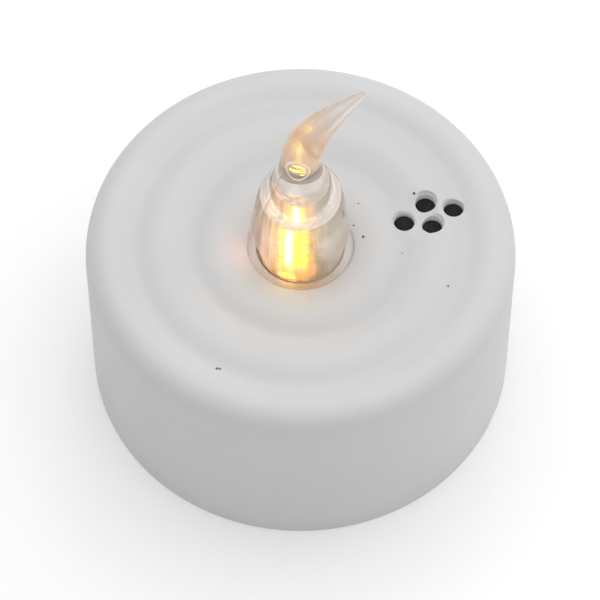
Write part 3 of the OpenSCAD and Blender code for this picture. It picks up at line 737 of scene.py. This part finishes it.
def flame_outline():
    """The flame's half section, from the cavity's roof down inside and up the outside, in two parts."""
    edge = 0.12 * MM
    low = -3.05 * MM
    bead_low, bead = -2.86 * MM, 0.22 * MM
    inside = [tuple(p) for p in arc((UPPER_CAVITY_R - edge, UPPER_CAVITY_H - edge), edge, 90, 0, 4)]
    inside += [(UPPER_CAVITY_R, CAVITY_H + 0.1 * MM), (UPPER_CAVITY_R + 0.08 * MM, CAVITY_H)]
    inside += [tuple(p) for p in arc((CAVITY_R - 0.35 * MM, CAVITY_H - 0.35 * MM), 0.35 * MM, 90, 0, 6)]
    inside += [(CAVITY_R, low)]
    outside = [(SPIGOT_R, low), (SPIGOT_R, bead_low), (SPIGOT_R + bead, bead_low + bead)]
    outside += [(SPIGOT_R, bead_low + 2 * bead), (SPIGOT_R, -FLANGE_H), (FLANGE_R, -FLANGE_H)]
    outside += [tuple(p) for p in arc((FLANGE_R - 0.25 * MM, -0.25 * MM), 0.25 * MM, 0, 90, 6)]
    outside += [tuple(p) for p in arc((FLAME_FOOT_R + 0.12 * MM, 0.12 * MM), 0.12 * MM, -90, -173, 4)]
    bullet = [(FLAME_R, FLAME_WIDEST_H), (FLAME_R - 0.6 * MM, BODY_H - 1.8 * MM),
              (HORN_ROOT_R + 0.5 * MM, BODY_H - 4 * MM), (HORN_ROOT_R, BODY_H)]
    upper = [tuple(bezier(bullet, k / 40)) for k in range(39)]
    return inside + outside, upper


def build_flame():
    angles = seam_angles()
    sides = len(angles)
    lower, upper = flame_outline()
    plain = subdivide_open(lower, 0.5 * MM)
    rings = []
    for r, z in plain + [Vector(p) for p in upper]:
        seam = 1 if z > 0.1 * MM and r > FLAME_FOOT_R or (r, z) in upper else 0
        rings.append([((r + seam * seam_at(t)) * Vector((math.cos(t), math.sin(t), 0))) + Vector((0, 0, z))
                      for t in angles])
    horn, tip = horn_rings(angles)
    rings += horn
    turn = Matrix.Rotation(FLAME_TURN, 3, "Z")
    verts = [Vector((0, 0, UPPER_CAVITY_H))]
    for ring in rings:
        verts += ring
    verts.append(tip)
    last = len(verts) - 1
    faces = [(0, 1 + i, 1 + (i + 1) % sides) for i in range(sides)]
    for k in range(len(rings) - 1):
        faces += loop_faces(1 + k * sides, 1 + (k + 1) * sides, sides)
    top = 1 + (len(rings) - 1) * sides
    faces += [(last, top + (i + 1) % sides, top + i) for i in range(sides)]
    verts = [turn @ v + Vector((0, 0, FLANGE_Z)) for v in verts]
    obj = new_object("clear_flame", mesh_from("clear_flame", verts, faces, 28), ROOT)
    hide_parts("flame_lens")
    finish_of(obj, clear_plastic())


def subdivide_open(points, longest):
    out = []
    for a, b in zip(points, points[1:]):
        a, b = Vector(a), Vector(b)
        n = max(1, math.ceil((b - a).length / longest))
        out += [a + (b - a) * k / n for k in range(n)]
    return [*out, Vector(points[-1])]


# ---------------------------------------------------------------- the rest of the CAD nodes

def dress_nodes():
    """Gives each CAD node that is shown as it is its own material."""
    base_white = white_plastic("base_polypropylene")
    zinc = metal("zinc_plate", (0.6, 0.61, 0.62), 0.35)
    nickel = metal("nickel_plate", (0.72, 0.71, 0.69), 0.22, (1, 8, 1))
    bronze = metal("contact_bronze", (0.7, 0.6, 0.4), 0.3, (1, 1, 6))
    tin = metal("tinned_steel", (0.68, 0.68, 0.69), 0.28, (1, 1, 5))
    looks = {
        "base_plate": base_white, "battery_door": base_white,
        "door_screw": zinc, "board_screws": zinc,
        "cell_can": nickel, "cell_cap": nickel,
        "cell_gasket": moulded("natural_nylon", (0.72, 0.68, 0.55), 0.5),
        "positive_contact": bronze, "negative_contact": bronze, "switch_wiper": bronze, "switch_pins": tin,
        "circuit_board": moulded("board_laminate", (0.3, 0.17, 0.05), 0.45, 0.3),
        "control_chip": moulded("black_resin", (0.008, 0.008, 0.008), 0.15, 0.6, 500),
        "chip_resistors": moulded("resistor_glaze", (0.012, 0.012, 0.012), 0.3, 0.3),
        "timing_capacitor": moulded("capacitor_sleeve", (0.01, 0.014, 0.06), 0.25, 0.4),
        "drive_transistor": moulded("transistor_moulding", (0.01, 0.01, 0.01), 0.5),
        "microphone_can": metal("drawn_aluminium", (0.75, 0.75, 0.76), 0.3),
        "microphone_backplate": moulded("mic_laminate", (0.03, 0.12, 0.05), 0.4),
        "microphone_felt": moulded("black_felt", (0.006, 0.006, 0.006), 0.95, 0, 5000, 0.0002),
        "microphone_wire_red": moulded("red_vinyl", (0.45, 0.012, 0.01), 0.4),
        "microphone_wire_black": moulded("black_vinyl", (0.012, 0.012, 0.012), 0.4),
        "switch_housing": tin, "switch_base": moulded("brown_phenolic", (0.1, 0.035, 0.012), 0.5),
        "switch_slider": moulded("black_acetal", (0.015, 0.015, 0.016), 0.35),
        "solder_joints": metal("solder", (0.7, 0.7, 0.71), 0.18),
    }
    for name, shader in looks.items():
        finish_of(nodes[name], shader)


def light_led():
    """The LED: a glowing chip as its lamp, with painted light on the lead frame and a painted glow in the
    amber body.
    """
    chip_low, chip_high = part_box("led_chip")
    chip = (chip_low + chip_high) / 2
    s = Shader("glowing_chip")
    s.set(Emission_Color=(1.0, 0.7, 0.18, 1), Emission_Strength=4.0, Base_Color=(1, 0.8, 0.4, 1))
    finish_of(nodes["led_chip"], s)
    s = Shader("lit_lead_frame")
    s.set(Metallic=1.0, Base_Color=(0.8, 0.78, 0.72, 1), Roughness=0.3, Emission_Color=(1.0, 0.6, 0.12, 1))
    # painted light: the lead frame glows near the chip
    s.to("Emission Strength", s.times(s.falloff(chip, 1.6 * MM), 6.0))
    finish_of(nodes["led_leads"], s)
    s = Shader("amber_epoxy")
    s.set(Transmission_Weight=0.4, IOR=1.52, Roughness=0.3, Base_Color=(1.0, 0.62, 0.12, 1),
          Emission_Color=(1.0, 0.55, 0.02, 1))
    # painted glow in the amber body round the chip
    near = s.math("POWER", s.falloff(chip, 4.0 * MM), 2)
    s.to("Emission Strength", s.times(near, 1.4))
    finish_of(nodes["led_body"], s)


# ---------------------------------------------------------------- the studio

def build_stage():
    size = 1.2
    verts = [(x * size, y * size, 0) for x, y in ((-1, -1), (1, -1), (1, 1), (-1, 1))]
    mesh = mesh_from("floor", verts, [(0, 1, 2, 3)])
    floor = bpy.data.objects.new("floor", mesh)
    bpy.context.scene.collection.objects.link(floor)
    s = Shader("pale_floor")
    s.set(Base_Color=(0.9, 0.9, 0.9, 1), Roughness=0.9, Emission_Color=(1, 1, 1, 1), Emission_Strength=0.14)
    finish_of(floor, s)


def aim(obj, point):
    obj.rotation_euler = (Vector(point) - obj.location).to_track_quat("-Z", "Y").to_euler()


def area_light(name, azimuth, elevation, distance, size, power, color=(1, 1, 1)):
    """A square soft light round the candle; azimuth 0 is behind the -Y side, as for the camera."""
    light = bpy.data.lights.new(name, "AREA")
    light.size = size
    light.energy = power
    light.color = color
    obj = bpy.data.objects.new(name, light)
    bpy.context.scene.collection.objects.link(obj)
    a, e = math.radians(azimuth), math.radians(elevation)
    obj.location = distance * Vector((math.sin(a) * math.cos(e), -math.cos(a) * math.cos(e), math.sin(e)))
    aim(obj, (0, 0, SHELL_H))
    return obj


CAMERA_AZIMUTH = -13.9
CAMERA_ELEVATION = 58.03
CAMERA_DISTANCE = 272.6 * MM
FOCAL_WIDTHS = 5.282
TILT_DOWN = 0.020
PAN_LEFT = 0.0002


def build_camera():
    data = bpy.data.cameras.new("camera")
    data.sensor_width = 36
    data.lens = data.sensor_width * FOCAL_WIDTHS
    data.clip_start = 0.005
    camera = bpy.data.objects.new("camera", data)
    bpy.context.scene.collection.objects.link(camera)
    a, e = math.radians(CAMERA_AZIMUTH), math.radians(CAMERA_ELEVATION)
    back = Vector((math.sin(a) * math.cos(e), -math.cos(a) * math.cos(e), math.sin(e)))
    camera.location = Vector((0, 0, SHELL_H)) + back * CAMERA_DISTANCE
    look = (-back).to_track_quat("-Z", "Y").to_matrix()
    look = look @ Matrix.Rotation(-TILT_DOWN, 3, "X") @ Matrix.Rotation(PAN_LEFT, 3, "Y")
    camera.rotation_euler = look.to_euler()
    bpy.context.scene.camera = camera


def build_light():
    world = bpy.data.worlds.new("studio")
    bpy.context.scene.world = world
    world.use_nodes = True
    background = world.node_tree.nodes["Background"]
    background.inputs["Color"].default_value = (1, 1, 1, 1)
    background.inputs["Strength"].default_value = 0.3
    # the flame's clear walls would show the overhead lamp as a white patch
    area_light("overhead", 0, 89, 0.7, 0.9, 3.5).visible_transmission = False
    area_light("back", 180, 45, 0.7, 0.6, 0.5)
    area_light("back_left", 225, 45, 0.7, 0.6, 0.15)
    area_light("back_right", 135, 45, 0.7, 0.6, 0.65)
    area_light("front_right", 45, 40, 0.7, 0.6, 0.15)
    area_light("right_low", 90, 15, 0.7, 0.5, 0.9)
    bpy.context.scene.view_settings.view_transform = "Standard"


build_camera()
build_light()
build_stage()
build_shell()
build_felt_bulges()
build_flame()
dress_nodes()
light_led()
